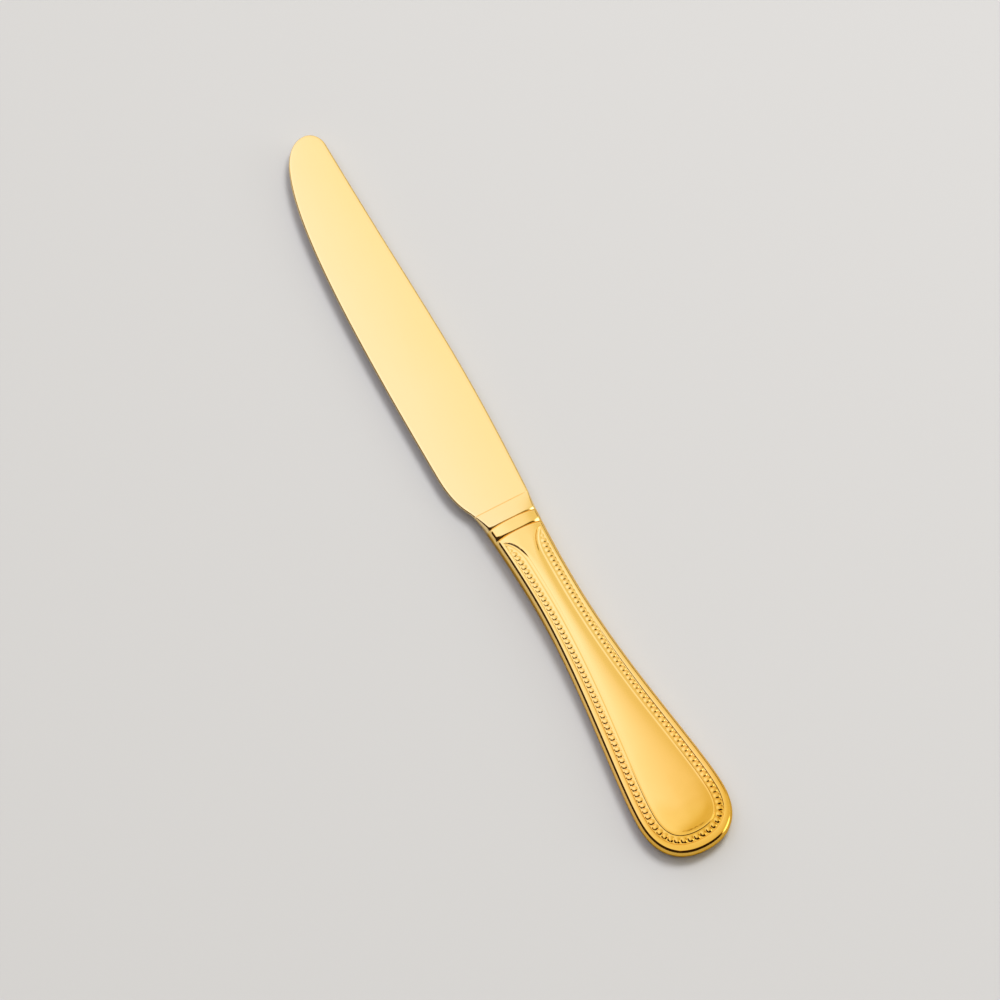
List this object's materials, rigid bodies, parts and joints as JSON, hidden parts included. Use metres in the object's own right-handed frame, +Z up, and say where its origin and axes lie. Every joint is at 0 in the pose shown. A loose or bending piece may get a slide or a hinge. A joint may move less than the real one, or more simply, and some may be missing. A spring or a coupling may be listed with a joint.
{
  "type": "table knife",
  "caption": "Table knife with a long round-tipped blade, a ramped bolster, a grooved collar and a waisted hollow handle with a beaded border, lying on its side.",
  "frame": {"origin": "middle of the knife's length and width, on the table under the lying knife", "axes": "+X along the knife to the tip, +Y across it to the cutting edge, +Z up from the table"},
  "size_m": [0.235, 0.0248, 0.0068],
  "materials": {
    "blade_steel": "polished",
    "handle_steel": "polished",
    "cement": "matte"
  },
  "bodies": {
    "root": {"blade": "blade_steel", "collar": "handle_steel", "front_shell": "handle_steel", "back_shell": "handle_steel", "handle_filling": "cement"}
  },
  "joints": []
}
